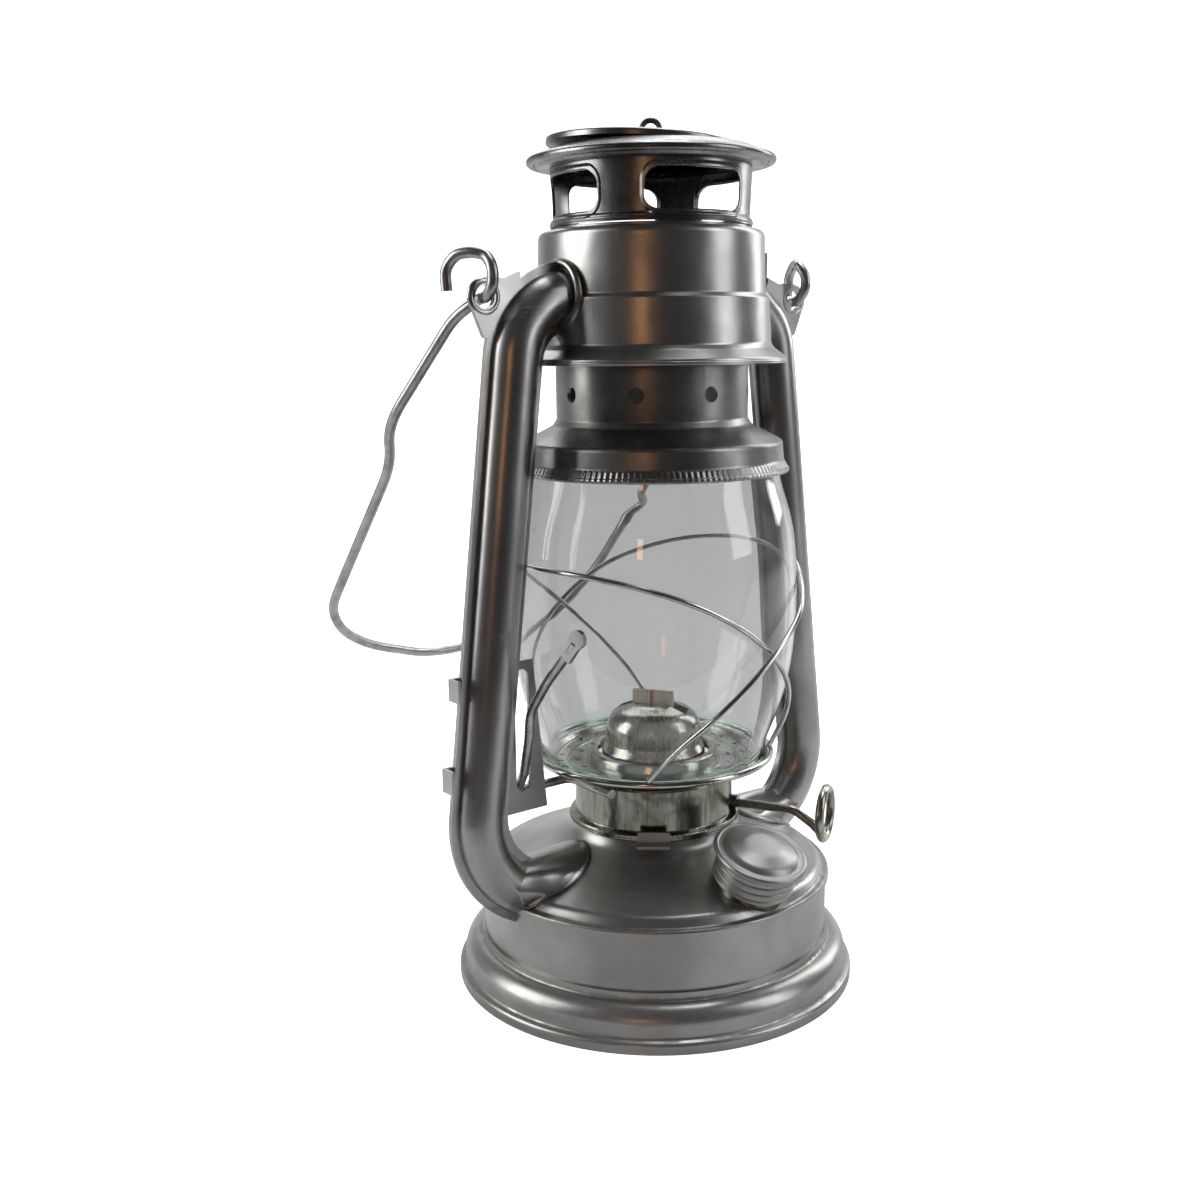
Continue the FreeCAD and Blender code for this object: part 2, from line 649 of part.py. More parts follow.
def lift_lever():
    """Wire lever: a finger under the globe plate, a pivot in the bracket's eyes, and a
    stem that comes forward through the slot to a flattened thumb paddle."""
    y, z = leverAxis
    finger = [vec(-28.0, y - 19.5, z), vec(-28.0, y, z), vec(-46.3, y, z)]
    stem = [vec(-46.3, y - 3.5, z + 6.0), vec(-46.4, -2.2, 78.0), vec(-46.4, -3.2, 86.2), vec(-45.9, -10.8, 96.2), vec(-44.4, -21.8, 108.4)]
    lever = wire_rod(finger + stem, leverWire, [3.0, 2.2, 3.0, 12.0, 12.0, 30.0])
    tail = Part.makeCylinder(leverWire, 5.4, vec(-51.4, y, z), vec(1, 0, 0))
    paddle = Part.makeCylinder(2.5, 1.5, vec(-0.75, 0, 0), vec(1, 0, 0))
    paddle = paddle.fuse(box_at((-0.75, -2.0, -7.0), (0.75, 2.0, 0)))
    paddle.rotate(vec(0, 0, 0), vec(1, 0, 0), 38)
    paddle.rotate(vec(0, 0, 0), vec(0, 0, 1), 14)
    paddle.translate(vec(-44.4, -22.6, 109.6))
    return one(lever.multiFuse([tail, paddle]))


# ---- build ------------------------------------------------------------------------------------

def main():
    os.makedirs("parts", exist_ok=True)
    hoodBlock = hood_block()
    tankBlock = tank_block()
    upperBore = tube_pipe(tubeRadius - tubeWall - 0.3, [(-20.0, tubeTopHeight), (-40.0, tubeTopHeight)], [])
    lowerBore = lower_tube_bore()

    save("foot_ring", foot_ring())
    save("tank_wall", tank_wall())
    save("tank_bottom", tank_bottom())
    save("tank_top", tank_top([lowerBore, mirrored(lowerBore)]))
    save("burner_socket", burner_socket())
    save("filler_neck", filler_neck())
    save("filler_cap", filler_cap())
    save("filler_gasket", filler_gasket())

    halves = [side_tube(side, [hoodBlock, tankBlock]) for side in (-1, 1)]
    wholeTube = tube_pipe(tubeRadius + 0.02)
    seam = halves[0].fuse(halves[1])
    upperCollar = mouth_collar(vec(-31.9, 0, tubeTopHeight), vec(1, 0, 0), 8.6, [hoodBlock, wholeTube, seam])
    lowerCollar = mouth_collar(vec(-46.8, 0, 33.6), vec(0.88, 0, -0.476), 8.4, [tankBlock, wholeTube, seam])
    for name, flip in (("left", False), ("right", True)):
        for half, where in zip(halves, ("front", "back")):
            save(f"{name}_tube_{where}", mirrored(half) if flip else half)
    save("upper_tube_collars", [upperCollar, mirrored(upperCollar)])
    save("lower_tube_collars", [lowerCollar, mirrored(lowerCollar)])
    save("hood", hood([upperBore, mirrored(upperBore)]))

    save("burner_collar", burner_collar())
    save("burner_base", burner_base())
    save("burner_clip", burner_clip())
    save("wick_tube", wick_tube())
    save("crank_bearings", crank_bearings())
    save("burner_dome", burner_dome())
    save("wick", wick())
    save("wick_shaft", wick_shaft())
    save("wick_wheels", wick_wheels())

    save("globe_plate", globe_plate())
    save("globe_glass", globe_glass())
    save("guard_wire_left", guard_wire(183.5, 0, 0))
    save("guard_wire_right", guard_wire(3.5, -1, 1.8))

    save("chimney_tube", chimney_tube())
    save("globe_stop", globe_stop())
    save("spring_seat", spring_seat())
    save("hood_spring", hood_spring())
    save("crown", crown())
    save("cap_lid", cap_lid())
    save("cap_disc", cap_disc())
    save("lift_ring", lift_ring())

    save("bail", bail())
    save("lifter_bracket", lifter_bracket())
    save("lift_lever", lift_lever())


main()
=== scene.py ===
import math

import bpy
from mathutils import Matrix, Vector


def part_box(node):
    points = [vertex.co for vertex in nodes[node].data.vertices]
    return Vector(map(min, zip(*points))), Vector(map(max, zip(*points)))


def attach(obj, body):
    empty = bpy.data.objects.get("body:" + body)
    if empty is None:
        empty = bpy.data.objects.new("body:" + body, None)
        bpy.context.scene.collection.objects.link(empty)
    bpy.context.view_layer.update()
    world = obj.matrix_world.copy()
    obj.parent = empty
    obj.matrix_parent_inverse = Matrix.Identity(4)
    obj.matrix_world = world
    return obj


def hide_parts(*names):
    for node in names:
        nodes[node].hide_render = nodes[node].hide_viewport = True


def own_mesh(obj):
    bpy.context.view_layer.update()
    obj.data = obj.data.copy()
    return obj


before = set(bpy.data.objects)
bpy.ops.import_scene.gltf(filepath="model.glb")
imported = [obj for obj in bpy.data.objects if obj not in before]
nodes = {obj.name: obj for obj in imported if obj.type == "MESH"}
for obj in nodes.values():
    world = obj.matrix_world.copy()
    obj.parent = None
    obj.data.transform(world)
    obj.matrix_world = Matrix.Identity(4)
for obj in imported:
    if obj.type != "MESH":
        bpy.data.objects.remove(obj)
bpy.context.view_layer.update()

mm = 0.001
print("frame loaded:", len(nodes), "nodes")


class Field:
    # one shader output, used in ordinary sums
    def __init__(self, tree, socket=None):
        self.tree = tree
        self.socket = socket

    def node(self, kind, settings=None, sockets=None, output=0):
        made = self.tree.nodes.new(kind)
        for key, value in (settings or {}).items():
            setattr(made, key, value)
        for key, value in (sockets or {}).items():
            self.plug(made.inputs[key], value)
        return Field(self.tree, made.outputs[output])

    def plug(self, target, value):
        if isinstance(value, Field):
            self.tree.links.new(value.socket, target)
        elif target.type == "RGBA":
            target.default_value = (*value, 1)
        else:
            target.default_value = value

    def maths(self, operation, *values):
        return self.node("ShaderNodeMath", {"operation": operation}, dict(enumerate(values)))

    def __add__(self, other):
        return self.maths("ADD", self, other)

    def __radd__(self, other):
        return self.maths("ADD", other, self)

    def __sub__(self, other):
        return self.maths("SUBTRACT", self, other)

    def __rsub__(self, other):
        return self.maths("SUBTRACT", other, self)

    def __mul__(self, other):
        return self.maths("MULTIPLY", self, other)

    def __rmul__(self, other):
        return self.maths("MULTIPLY", other, self)

    def __mod__(self, other):
        return self.maths("MODULO", self, other)

    def __abs__(self):
        return self.maths("ABSOLUTE", self)

    def sine(self):
        return self.maths("SINE", self)

    def root(self):
        return self.maths("SQRT", self)

    def least(self, other):
        return self.maths("MINIMUM", self, other)

    def most(self, other):
        return self.maths("MAXIMUM", self, other)

    def clamp(self):
        return self.node("ShaderNodeClamp", {}, {0: self})

    def step(self, low, high):
        # 0 below low, 1 above high, smooth between; swapped ends turn it round
        if low > high:
            return 1.0 - self.step(high, low)
        return self.node("ShaderNodeMapRange", {"interpolation_type": "SMOOTHSTEP"},
                         {0: self, 1: low, 2: high})

    def band(self, middle, half, soft):
        # 1 within half of middle, fading out over soft
        return abs(self - middle).step(half + soft, half)

    def mix(self, factor, first, second):
        return self.node("ShaderNodeMix", {"data_type": "RGBA"}, {0: factor, 6: first, 7: second}, output=2)


class Surface:
    # a Principled material with the fields every finish here starts from
    def __init__(self, name, **values):
        self.material = bpy.data.materials.new(name)
        self.material.use_nodes = True
        tree = self.material.node_tree
        self.shader = tree.nodes["Principled BSDF"]
        self.place = Field(tree).node("ShaderNodeTexCoord", output="Object")
        self.feed(**values)
        split = tree.nodes.new("ShaderNodeSeparateXYZ")
        tree.links.new(self.place.socket, split.inputs[0])
        self.x, self.y, self.z = [Field(tree, out) * 1000.0 for out in split.outputs]   # millimetres
        self.radius = (self.x * self.x + self.y * self.y).root()
        self.angle = self.x.maths("ARCTAN2", self.y, self.x)

    def vector(self, x, y, z):
        return self.place.node("ShaderNodeCombineXYZ", {}, {0: x, 1: y, 2: z})

    def noise(self, size, detail=3.0, rough=0.5, at=None, stretch=None):
        # size is the grain in millimetres; at is a vector field in millimetres
        if at is None:
            at = self.vector(self.x, self.y, self.z)
        if stretch:
            at = at.node("ShaderNodeVectorMath", {"operation": "MULTIPLY"}, {0: at, 1: stretch})
        sockets = {"Vector": at, "Scale": 1.0 / size, "Detail": detail, "Roughness": rough}
        return at.node("ShaderNodeTexNoise", {}, sockets)

    def cells(self, size):
        # distance from the middle of the nearest cell, in cells
        at = self.vector(self.x, self.y, self.z)
        return at.node("ShaderNodeTexVoronoi", {"feature": "F1"}, {"Vector": at, "Scale": 1.0 / size})

    def specks(self, size, share):
        # small round marks, one in each cell of the given size
        return self.cells(size).step(share, share * 0.6)

    def mix(self, factor, first, second):
        return self.place.mix(factor, first, second)

    def bump(self, height, depth, below=None):
        # height is 0 to 1, depth is its size in millimetres
        sockets = {"Height": height, "Distance": depth * mm, "Strength": 1.0}
        if below is not None:
            sockets["Normal"] = below
        return self.place.node("ShaderNodeBump", {}, sockets)

    def feed(self, **fields):
        for key, value in fields.items():
            self.place.plug(self.shader.inputs[key.replace("_", " ")], value)


def makeMesh(name, verts, faces, material):
    mesh = bpy.data.meshes.new(name)
    mesh.from_pydata(verts, [], faces)
    mesh.shade_smooth()
    mesh.materials.append(material)
    piece = bpy.data.objects.new(name, mesh)
    bpy.context.scene.collection.objects.link(piece)
    return piece


def tubeFaces(rings, around, first=0, flip=False):
    # four-sided faces between rings of points that follow each other
    faces = []
    for i in range(rings):
        for k in range(around):
            a = first + i * around + k
            b = first + i * around + (k + 1) % around
            quad = (a, b, b + around, a + around)
            faces.append(quad[::-1] if flip else quad)
    return faces


def paint(material, *names):
    for name in names:
        mesh = nodes[name].data
        mesh.materials.clear()
        mesh.materials.append(material)
        mesh.shade_smooth()
        mesh.set_sharp_from_angle(angle=math.radians(38))


cameraView = {
    "place": (-0.2503, -0.2983, 0.1855),
    "forward": (0.6013, 0.7768, -0.1870),
    "roll": -0.67,      # degrees
    "lens": 40.81,      # mm on a 36 mm sensor
}


def makeCamera(view):
    data = bpy.data.cameras.new("camera")
    data.lens = view["lens"]
    data.sensor_width = 36
    data.clip_start = 0.01
    data.dof.use_dof = False
    camera = bpy.data.objects.new("camera", data)
    forward = Vector(view["forward"]).normalized()
    right = forward.cross(Vector((0, 0, 1))).normalized()
    up = right.cross(forward)
    turn = math.radians(view["roll"])
    rolledRight = right * math.cos(turn) + up * math.sin(turn)
    rolledUp = up * math.cos(turn) - right * math.sin(turn)
    axes = Matrix((rolledRight, rolledUp, -forward)).transposed()
    camera.matrix_world = Matrix.Translation(Vector(view["place"])) @ axes.to_4x4()
    bpy.context.scene.collection.objects.link(camera)
    bpy.context.scene.camera = camera


studio = {
    "roomColour": (0.035, 0.036, 0.04),    # what the metal reflects
    "glassColour": (0.50, 0.50, 0.51),     # what is seen through the globe, past the paper
    "backColour": (1.0, 1.0, 1.0),         # what shows behind the object
    "paper": (0.72, 0.72, 0.72),
    "paperRoughness": 0.8,
    "paperGlow": 1.0,                      # for the camera only, not for metal and glass
    "paperWidth": 6.0,                     # metres, as are the next four
    "frontEdge": -0.20,
    "wallDistance": 0.95,
    "wallHeight": 2.4,
    "wallBend": 0.35,
    "lampAim": (0.0, 0.0, 0.12),
    # metres to camera right, metres towards the camera, height, width, length, watts, colour
    "lights": {
        "softboxLeft": (-1.03, 0.14, 0.50, 0.66, 0.85, 8.0, (1.0, 0.99, 0.97)),
        "softboxRight": (0.94, 0.30, 0.55, 0.36, 0.85, 3.3, (0.97, 0.99, 1.0)),
        "backTop": (0.0, -0.72, 0.85, 1.0, 0.45, 4.0, (1.0, 1.0, 1.0)),
        "rimRight": (0.80, -0.60, 0.60, 0.30, 0.90, 4.0, (1.0, 1.0, 1.0)),
        "overhead": (0.10, -0.20, 1.20, 0.6, 0.4, 5.0, (1.0, 1.0, 1.0)),
        "frontCard": (-0.22, 1.10, 0.34, 0.09, 0.20, 0.32, (1.0, 0.48, 0.20)),
    },
}


def makePaper(values, forward, right):
    # one sheet: floor, a quarter bend, then the wall behind the object
    bend, steps = values["wallBend"], 12
    straight = values["wallDistance"] - bend
    line = [(values["frontEdge"], 0.0), (0.0, 0.0), (straight, 0.0)]
    for step in range(1, steps + 1):
        a = math.pi / 2 * step / steps
        line.append((straight + bend * math.sin(a), bend - bend * math.cos(a)))
    line.append((values["wallDistance"], values["wallHeight"]))
    verts = []
    for along, height in line:
        for side in (-0.5, 0.5):
            verts.append(forward * along + right * side * values["paperWidth"] + Vector((0, 0, height)))
    faces = [(2 * i, 2 * i + 1, 2 * i + 3, 2 * i + 2) for i in range(len(line) - 1)]
    s = Surface("paper", Base_Color=values["paper"], Roughness=values["paperRoughness"],
                Emission_Strength=values["paperGlow"])
    s.feed(Emission_Color=s.place.node("ShaderNodeLightPath", output="Is Camera Ray"))
    makeMesh("paper", verts, faces, s.material)


def makeRoom(values):
    world = bpy.data.worlds.new("studio")
    world.use_nodes = True
    room = Field(world.node_tree)
    throughGlass = room.node("ShaderNodeLightPath", output="Is Transmission Ray")
    fromCamera = room.node("ShaderNodeLightPath", output="Is Camera Ray")
    shade = room.mix(throughGlass, values["roomColour"], values["glassColour"])
    shade = room.mix(fromCamera, shade, values["backColour"])
    room.plug(world.node_tree.nodes["Background"].inputs["Color"], shade)
    bpy.context.scene.world = world


def makeLights(values, forward, right):
    for name, (side, near, height, width, length, watts, colour) in values["lights"].items():
        data = bpy.data.lights.new(name, "AREA")
        data.shape = "RECTANGLE"
        data.size = width
        data.size_y = length
        data.energy = watts
        data.color = colour
        light = bpy.data.objects.new(name, data)
        light.location = right * side - forward * near + Vector((0, 0, height))
        aim = Vector(values["lampAim"]) - light.location
        light.rotation_euler = aim.to_track_quat("-Z", "Y").to_euler()
        bpy.context.scene.collection.objects.link(light)


def makeStudio(values):
    forward = Vector((cameraView["forward"][0], cameraView["forward"][1], 0)).normalized()
    right = Vector((forward.y, -forward.x, 0))
    makePaper(values, forward, right)
    makeRoom(values)
    makeLights(values, forward, right)
    bpy.context.scene.view_settings.view_transform = "Standard"


makeCamera(cameraView)
makeStudio(studio)
print("camera and studio set")


silverPaint = {
    "light": (0.46, 0.457, 0.45),
    "dark": (0.32, 0.316, 0.308),
    # this dark colour goes on the dust specks, and along the seams where it is partly painted shade
    "grimeAndShade": (0.16, 0.14, 0.12),
    "scratch": (0.30, 0.28, 0.26),
    "roughness": 0.29,
    "metallic": 0.80,       # aluminium paint, part of it dull
    "dentDepth": 0.28,      # mm, as are the next two
    "grainDepth": 0.010,
    "markDepth": 0.03,
}
# where the tank and its foot are darkened along their seams, dirt with painted shade in the creases, in mm
tankSeams = {
    "rimZ": 31.9,
    "rimRadius": (49.0, 50.5),
    "footTopZ": 12.3,
    "footTopRadius": (54.0, 52.6),
    "footLipZ": 3.6,
    "footLipRadius": 57.4,
}
# where the tubes were flattened and pushed in, in mm
tubeFolds = {
    "lowerZ": (50.0, 40.0),
    "lowerReach": (66.0, 52.0),
    "upperZ": (185.0, 195.0),
    "upperReach": (45.0, 38.0),
    "grain": 8.0,
    "depth": 0.5,
}


# the tank's seams and creases darkened: dirt and painted shade together
def seamShadeAndDirt(s, values):
    rim = s.z.band(values["rimZ"], 0.25, 0.7) * s.radius.step(*values["rimRadius"])
    footTop = s.z.band(values["footTopZ"], 0.2, 0.9) * s.radius.step(*values["footTopRadius"])
    footLip = s.z.band(values["footLipZ"], 0.15, 0.6) * s.radius.band(values["footLipRadius"], 0.8, 0.8)
    return rim.most(footTop).most(footLip)


def foldedBump(s, values, below):
    away = abs(s.x)
    lower = s.z.step(*values["lowerZ"]) * away.step(*values["lowerReach"])
    upper = away.step(*values["upperReach"]) * s.z.step(*values["upperZ"])
    folds = s.noise(values["grain"], 1.0, 0.4, stretch=(0.5, 1.3, 0.7))
    creases = (1.0 - abs(folds - 0.5) * 4.0).clamp()
    return s.bump((creases * 0.5 + folds) * (lower + upper * 0.5), values["depth"], below)


def paintedTin(name, values, folds=None):
    s = Surface(name, Metallic=values["metallic"])
    cloud = s.noise(26.0, 4.0, 0.55)
    grain = s.noise(0.35, 2.0, 0.6)
    drips = s.noise(5.0, 4.0, 0.6, stretch=(1.0, 1.0, 0.22))
    colour = s.mix(cloud.step(0.35, 0.68), values["light"], values["dark"])
    colour = s.mix((grain - 0.5) * 0.5 + 0.25, colour, values["dark"])

    # small dark specks where dust sat in the wet paint, thin scratches, and low down along the seams dirt
    # with painted shade in the creases
    specks = s.specks(9.0, 0.035) * s.noise(14.0, 1.0).step(0.52, 0.62)
    lines = s.noise(2.2, 2.0, 0.4, stretch=(0.10, 0.10, 1.6)).band(0.5, 0.003, 0.004)
    scratches = lines * s.noise(18.0, 1.0).step(0.60, 0.70)
    # dirt with painted shade in the creases of the seams
    dirtAndShade = (seamShadeAndDirt(s, tankSeams) * drips.step(0.35, 0.6) * 0.45).clamp()
    colour = s.mix(scratches * 0.3, colour, values["scratch"])
    colour = s.mix((specks * 0.8).most(dirtAndShade), colour, values["grimeAndShade"])
    rough = values["roughness"] + (cloud - 0.5) * 0.12 + (drips - 0.5) * 0.10 + grain * 0.06 + dirtAndShade * 0.25

    normal = s.bump(s.noise(17.0, 2.0, 0.4), values["dentDepth"])
    normal = s.bump(grain, values["grainDepth"], normal)
    normal = s.bump(1.0 - (specks + scratches * 0.3).clamp(), values["markDepth"], normal)
    if folds:
        normal = foldedBump(s, folds, normal)
    s.feed(Base_Color=colour, Roughness=rough, Normal=normal)
    return s.material


paint(paintedTin("silverPaint", silverPaint), "foot_ring", "tank_wall", "tank_bottom", "tank_top")

hoodPaint = {**silverPaint, "metallic": 0.95, "dentDepth": 0.4}
paint(paintedTin("hoodPaint", hoodPaint), "hood")

tubePaint = paintedTin("tubePaint", {**silverPaint, "metallic": 0.97}, tubeFolds)
paint(tubePaint, "left_tube_front", "left_tube_back", "right_tube_front", "right_tube_back",
      "upper_tube_collars", "lower_tube_collars")

bracketPaint = {**silverPaint, "light": (0.55, 0.55, 0.545), "roughness": 0.42, "dentDepth": 0.3}
paint(paintedTin("bracketPaint", bracketPaint), "lifter_bracket", "burner_clip")

# the filler cap gets a darker copy of the silver paint: painted shade that holds down the highlight it
# catches
capPaint = {**silverPaint, "light": (0.40, 0.40, 0.397), "roughness": 0.35, "dentDepth": 0.6}
paint(paintedTin("capPaint", capPaint), "filler_cap")
print("painted tin done")


# the tubes' feet, flared over the tank and creased where they were pushed in, in mm
tubeFoot = {
    "startX": 54.2,          # middle of the round end, from the lamp's centreline
    "startZ": 36.6,
    "startHalf": 7.25,
    "slope": 29.5,           # degrees down towards the tank's middle
    "mouthMiddle": 40.0,     # middle of the flared edge on the tank
    "mouthLength": 14.0,     # half its length towards the burner
    "mouthWidth": 11.0,      # half its width
    "tankEdgeZ": 32.0,
    "aboveZ": 60.0,          # a height clear above the tank, to look down at it from
    "lip": 0.9,              # what the edge stands off the tank
    "lipEnd": 0.18,          # and at its very end
    "folds": 0.35,
    "sheet": 0.6,
}


def footPoint(values, side, t, a):
    # t runs from the round end to the mouth, a goes round
    slope = math.radians(values["slope"])
    up = values["startHalf"] * math.cos(a)
    startX = values["startX"] + up * math.sin(slope)
    start = Vector((startX, values["startHalf"] * math.sin(a), values["startZ"] + up * math.cos(slope)))
    mouthX = values["mouthMiddle"] - values["mouthLength"] * math.cos(a)
    mouthY = values["mouthWidth"] * math.sin(a)
    above = Vector((side * mouthX, mouthY, values["aboveZ"])) * mm
    hit, place, normal, face = nodes["tank_top"].ray_cast(above, Vector((0, 0, -1)))
    mouthZ = place.z / mm if hit else values["tankEdgeZ"]
    mouthZ += values["lip"] if t < 1.0 else values["lipEnd"]
    point = start.lerp(Vector((mouthX, mouthY, mouthZ)), t)
    waves = math.sin(4 * a + 0.9 * side) + 0.6 * math.sin(7 * a + 4 * t)
    point.z += values["folds"] * math.sin(math.pi * t) * waves
    return (side * point.x * mm, point.y * mm, point.z * mm)


def makeTubeFeet(values):
    rings, around = 18, 96
    verts, faces = [], []
    for side in (-1, 1):
        faces += tubeFaces(rings, around, len(verts), side < 0)
        for i in range(rings + 1):
            for k in range(around):
                verts.append(footPoint(values, side, i / rings, 2 * math.pi * k / around))
    feet = makeMesh("tubeFeet", verts, faces, tubePaint)
    wall = feet.modifiers.new("wall", "SOLIDIFY")
    wall.thickness = values["sheet"] * mm
    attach(feet, "frame")
    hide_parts("lower_tube_collars")


makeTubeFeet(tubeFoot)
print("tube feet done")


galvanised = {
    "light": (0.29, 0.30, 0.265),
    "dark": (0.12, 0.12, 0.105),
    "yellow": (0.25, 0.245, 0.19),
    "roughness": 0.22,
    "crystals": 3.2,     # mm across
    "streaks": 0.8,      # how dark the press tool's upright rub marks are
}


def galvanisedTin(name, values):
    s = Surface(name, Metallic=1.0)
    crystals = s.cells(values["crystals"])
    cloud = s.noise(9.0, 3.0, 0.6)
    rubs = s.noise(0.9, 3.0, 0.6, at=s.vector(s.angle * 22.0, s.z * 0.07, s.radius * 0.2))
    colour = s.mix(cloud.step(0.3, 0.7), values["light"], values["yellow"])
    colour = s.mix(rubs.step(0.45, 0.72) * values["streaks"], colour, values["dark"])
    rough = values["roughness"] + (rubs - 0.5) * 0.30 + (crystals - 0.4) * 0.10 + (cloud - 0.5) * 0.10
    normal = s.bump(s.noise(7.0, 2.0, 0.4), 0.35)
    normal = s.bump(rubs, 0.02, normal)
    s.feed(Base_Color=colour, Roughness=rough, Normal=normal)
    return s.material


paint(galvanisedTin("galvanisedBurner", galvanised), "burner_collar", "burner_base", "wick_tube",
      "crank_bearings", "burner_socket", "filler_neck")
domeTin = {
    **galvanised,
    "light": (0.52, 0.53, 0.49),
    "yellow": (0.48, 0.47, 0.40),
    "roughness": 0.24,
    "streaks": 0.35,
}
paint(galvanisedTin("burnerDome", domeTin), "burner_dome")


plate = {
    "light": (0.62, 0.615, 0.58),
    "dark": (0.36, 0.355, 0.32),
    "roughness": 0.20,
    "rings": ((29.4, 0.35, 0.5), (24.8, 0.35, 0.5), (20.0, 0.3, 0.4)),   # radius, half, soft in mm
    "holes": 36.0,
    "holeRadius": 33.4,
}


def plateTin(name, values):
    s = Surface(name, Metallic=1.0)
    spin = s.noise(0.6, 3.0, 0.6, at=s.vector(s.radius * 3.0, s.angle * 2.0, s.z * 0.4))
    cloud = s.noise(11.0, 3.0, 0.6)
    rings = s.radius.band(*values["rings"][0])
    for ring in values["rings"][1:]:
        rings = rings.most(s.radius.band(*ring))
    # dark spots painted round the plate where its air holes are: painted shade for their insides
    holes = (s.angle * values["holes"]).sine().step(0.55, 0.8)
    holes = holes * s.radius.band(values["holeRadius"], 0.2, 0.25)
    colour = s.mix(cloud.step(0.35, 0.7), values["light"], values["dark"])
    colour = s.mix(spin.step(0.5, 0.8) * 0.4 + holes * 0.4, colour, values["dark"])
    rough = values["roughness"] + (spin - 0.5) * 0.2
    normal = s.bump(rings, 0.5)
    normal = s.bump(spin, 0.015, normal)
    s.feed(Base_Color=colour, Roughness=rough, Normal=normal)
    return s.material


paint(plateTin("globePlate", plate), "globe_plate")


chimneyTin = {
    "light": (0.34, 0.335, 0.33),
    "dark": (0.21, 0.205, 0.20),
    "heat": (0.22, 0.17, 0.13),     # brown where the flame has warmed it
    "roughness": 0.33,
}
crownTin = {
    **chimneyTin,
    "light": (0.27, 0.27, 0.275),
    "dark": (0.13, 0.13, 0.135),
    "roughness": 0.27,
}
# the raised border round each of the crown's windows, in mm
windowBorder = {
    "turn": 12.0,            # degrees
    "mmPerDegree": 0.485,    # along the wall
    "halfWide": 14.4,
    "halfHigh": 5.2,
    "middleZ": 224.1,
    "corner": 3.6,
    "outside": 0.9,          # from the window's edge to the border's middle
    "depth": 0.7,
}
# fine upright flutes where the holder's rim is rolled over the globe, in mm
rimFlutes = {
    "count": 150.0,
    "z": 150.4,
    "radius": (36.6, 37.2),
    "depth": 0.12,
}


def windowEdges(s, values, below):
    turn = (s.angle * (180 / math.pi) + values["turn"] + 405.0) % 90.0 - 45.0
    across = abs(turn) * values["mmPerDegree"] - (values["halfWide"] - values["corner"])
    along = abs(s.z - values["middleZ"]) - (values["halfHigh"] - values["corner"])
    corner = (across.most(0.0) * across.most(0.0) + along.most(0.0) * along.most(0.0)).root()
    distance = corner + across.most(along).least(0.0) - values["corner"]
    onWall = s.radius.step(24.0, 26.0) * s.z.step(231.0, 230.0)
    return s.bump(distance.band(values["outside"], 0.5, 0.7) * onWall, values["depth"], below)


def darkTin(name, values, flutes=None, windows=None):
    s = Surface(name, Metallic=1.0)
    cloud = s.noise(14.0, 4.0, 0.6)
    rubs = s.noise(1.1, 3.0, 0.6, at=s.vector(s.angle * 26.0, s.z * 0.10, s.radius * 0.2))
    grain = s.noise(0.4, 2.0, 0.6)
    colour = s.mix(cloud.step(0.35, 0.7), values["light"], values["dark"])
    colour = s.mix(rubs.step(0.5, 0.75) * 0.25, colour, values["dark"])
    colour = s.mix(s.noise(8.0, 3.0, 0.6).step(0.60, 0.80) * 0.5, colour, values["heat"])
    rough = values["roughness"] + (cloud - 0.5) * 0.12 + (rubs - 0.5) * 0.12 + grain * 0.04
    normal = s.bump(s.noise(13.0, 2.0, 0.4), 0.30)
    normal = s.bump(grain, 0.008, normal)
    if windows:
        normal = windowEdges(s, windows, normal)
    if flutes:
        rim = s.z.band(flutes["z"], 1.3, 0.5) * s.radius.step(*flutes["radius"])
        normal = s.bump(((s.angle * flutes["count"]).sine() * 0.5 + 0.5) * rim, flutes["depth"], normal)
        rough = rough - rim * 0.06
    s.feed(Base_Color=colour, Roughness=rough, Normal=normal)
    return s.material


paint(darkTin("chimneyTin", chimneyTin, flutes=rimFlutes), "chimney_tube", "globe_stop", "spring_seat")
paint(darkTin("crownTin", crownTin, windows=windowBorder), "crown", "cap_lid", "cap_disc")
print("bare tin done")


# light and dark colour, roughness
wires = {
    "bailWire": ((0.44, 0.44, 0.44), (0.26, 0.26, 0.26), 0.30),
    "ringWire": ((0.16, 0.155, 0.15), (0.07, 0.07, 0.07), 0.35),
    "guardWire": ((0.66, 0.67, 0.67), (0.40, 0.41, 0.41), 0.18),
    "crankWire": ((0.42, 0.415, 0.36), (0.24, 0.235, 0.20), 0.24),
    "leverWire": ((0.50, 0.50, 0.49), (0.30, 0.30, 0.295), 0.26),
}
nickColour = (0.14, 0.13, 0.12)


def zincWire(name):
    light, dark, roughness = wires[name]
    s = Surface(name, Metallic=1.0)
    cloud = s.noise(7.0, 4.0, 0.6)
    draw = s.noise(0.5, 2.0, 0.6)
    colour = s.mix(cloud.step(0.35, 0.7), light, dark)
    nicks = s.specks(5.0, 0.10) * s.noise(9.0, 1.0).step(0.5, 0.6)
    colour = s.mix(nicks * 0.7, colour, nickColour)
    rough = roughness + (cloud - 0.5) * 0.2 + draw * 0.08
    normal = s.bump(draw, 0.012)
    normal = s.bump(1.0 - nicks, 0.05, normal)
    s.feed(Base_Color=colour, Roughness=rough, Normal=normal)
    return s.material


bailWire = zincWire("bailWire")
paint(bailWire, "bail", "hood_spring")
paint(zincWire("ringWire"), "lift_ring")
paint(zincWire("guardWire"), "guard_wire_left", "guard_wire_right")
paint(zincWire("crankWire"), "wick_shaft", "wick_wheels")
paint(zincWire("leverWire"), "lift_lever")


# the spring between its seat and the hood's top; the real one is squeezed as the chimney is lifted, but
# here it is built at one fixed length
hoodSpring = {
    "wire": 0.6,       # mm, half the wire's thickness
    "turns": 5,
    "keep": 0.43,      # share of its length left with the globe and the chimney both up
}


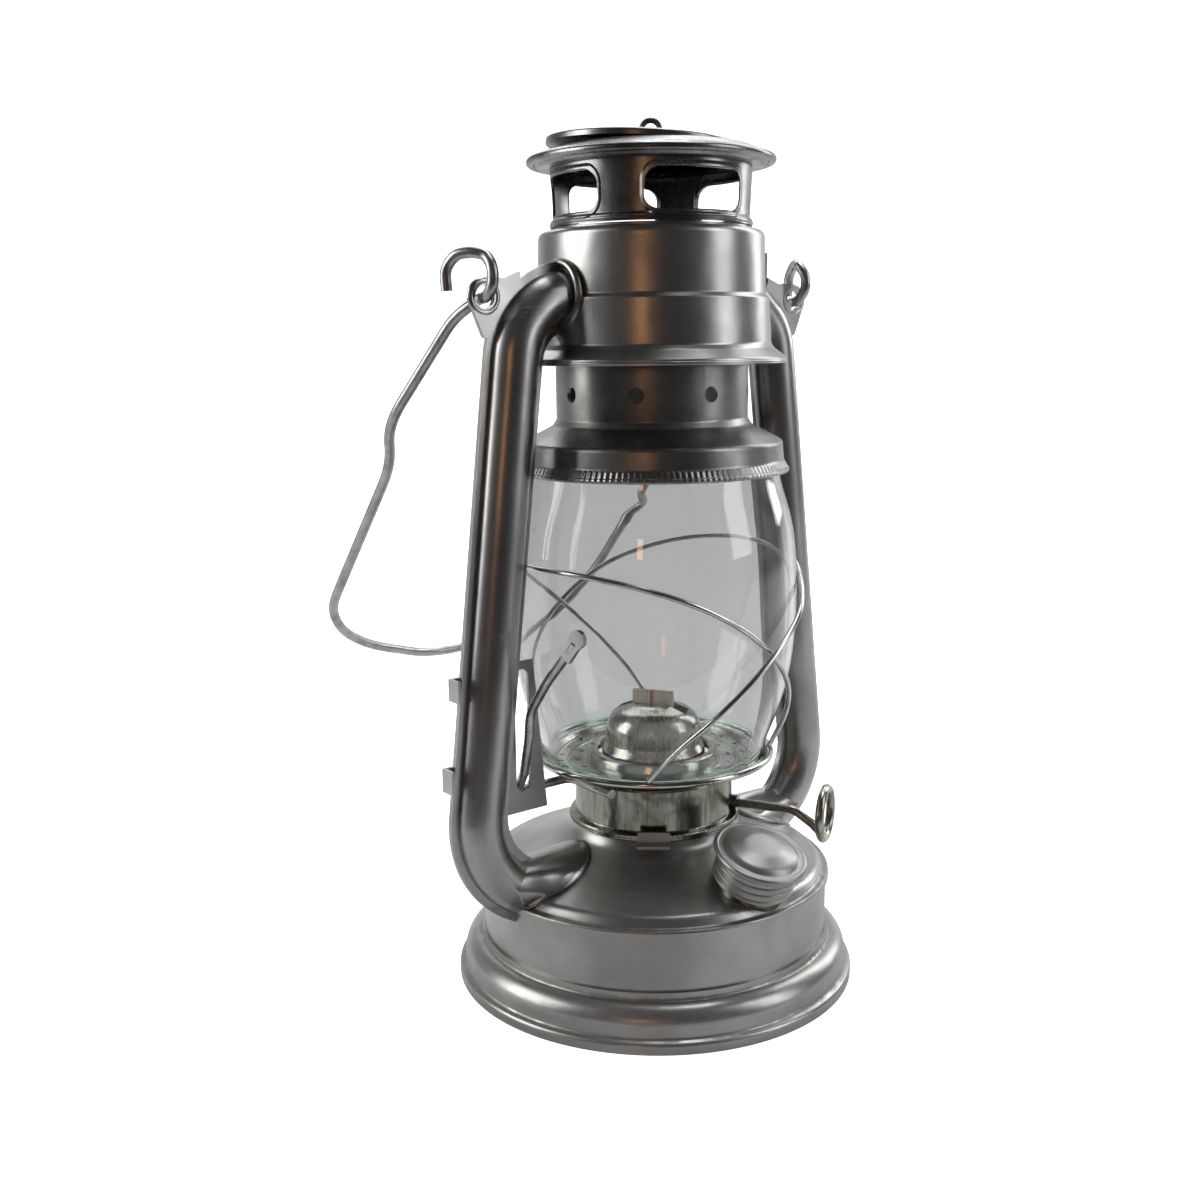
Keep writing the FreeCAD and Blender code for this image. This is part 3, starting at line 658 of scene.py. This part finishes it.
def makeHoodSpring(values):
    low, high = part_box("hood_spring")
    wire = values["wire"] * mm
    middle = (high.x - low.x) / 2 - wire
    bottom, rise = low.z + wire, high.z - low.z - 2 * wire
    steps, around = values["turns"] * 48, 12
    verts = []
    for i in range(steps + 1):
        turn = 2 * math.pi * values["turns"] * i / steps
        for k in range(around):
            a = 2 * math.pi * k / around
            reach = middle + wire * math.cos(a)
            height = bottom + rise * i / steps + wire * math.sin(a)
            verts.append((reach * math.cos(turn), reach * math.sin(turn), height))
    faces = tubeFaces(steps, around, flip=True)
    faces.append(tuple(range(around)))
    faces.append(tuple(steps * around + k for k in reversed(range(around))))
    spring = makeMesh("hoodSpring", verts, faces, bailWire)
    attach(spring, "frame")
    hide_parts("hood_spring")
    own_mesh(spring)


makeHoodSpring(hoodSpring)
print("wire done")


glass = {
    "clear": (0.72, 0.725, 0.725),
    "rim": (0.62, 0.78, 0.72),      # greener where the glass is cut
    "ior": 1.45,
    "lowerRim": (70.5, 67.0),       # mm
    "upperRim": (154.5, 156.0),
    "waves": 0.35,                  # mm deep
}


def globeGlass(name, values):
    s = Surface(name, Roughness=0.0, IOR=values["ior"], Transmission_Weight=1.0)
    rims = s.z.step(*values["lowerRim"]).most(s.z.step(*values["upperRim"]) * 0.5)
    colour = s.mix(rims, values["clear"], values["rim"])
    rough = s.noise(12.0, 4.0, 0.6).step(0.62, 0.85) * 0.03
    waves = s.noise(24.0, 1.0, 0.3, stretch=(1.0, 1.0, 0.5))
    s.feed(Base_Color=colour, Roughness=rough, Normal=s.bump(waves, values["waves"]))
    return s.material


paint(globeGlass("globeGlass", glass), "globe_glass")


cotton = {
    "light": (0.86, 0.80, 0.66),
    "dark": (0.62, 0.54, 0.40),
    "thread": (0.55, 0.12, 0.08),   # one red thread down the middle
    "singed": (0.42, 0.33, 0.22),
    "singedZ": (83.2, 84.2),        # mm
    "turn": -60,                    # degrees, the way the flat wick faces
    "ribs": 7.0,                    # radians per mm
    "picks": 6.0,
}


def wovenWick(name, values):
    s = Surface(name, Metallic=0.0)
    turn = math.radians(values["turn"])
    across = s.x * math.cos(turn) + s.y * math.sin(turn)
    ribs = (across * values["ribs"]).sine() * 0.5 + 0.5
    picks = (s.z * values["picks"] + across * 1.2).sine() * 0.5 + 0.5
    fuzz = s.noise(0.4, 3.0, 0.7)
    colour = s.mix(ribs * 0.5 + fuzz * 0.5, values["light"], values["dark"])
    colour = s.mix(across.band(0.0, 0.45, 0.2) * 0.8, colour, values["thread"])
    singed = s.z.step(*values["singedZ"]) * fuzz.step(0.35, 0.6) * 0.5
    colour = s.mix(singed, colour, values["singed"])
    normal = s.bump(ribs * 0.7 + picks * 0.3 + fuzz * 0.3, 0.25)
    s.feed(Base_Color=colour, Roughness=0.9 - fuzz * 0.1, Normal=normal)
    return s.material


paint(wovenWick("wovenWick", cotton), "wick")


cork = {
    "light": (0.24, 0.17, 0.11),
    "dark": (0.09, 0.07, 0.05),
    "crumbs": 0.8,      # mm
}


def corkGasket(name, values):
    s = Surface(name, Metallic=0.0)
    crumbs = s.noise(values["crumbs"], 3.0, 0.7)
    colour = s.mix(crumbs.step(0.4, 0.6), values["dark"], values["light"])
    s.feed(Base_Color=colour, Roughness=0.75 + crumbs * 0.2, Normal=s.bump(crumbs, 0.15))
    return s.material


paint(corkGasket("corkGasket", cork), "filler_gasket")
print("glass, wick and gasket done")
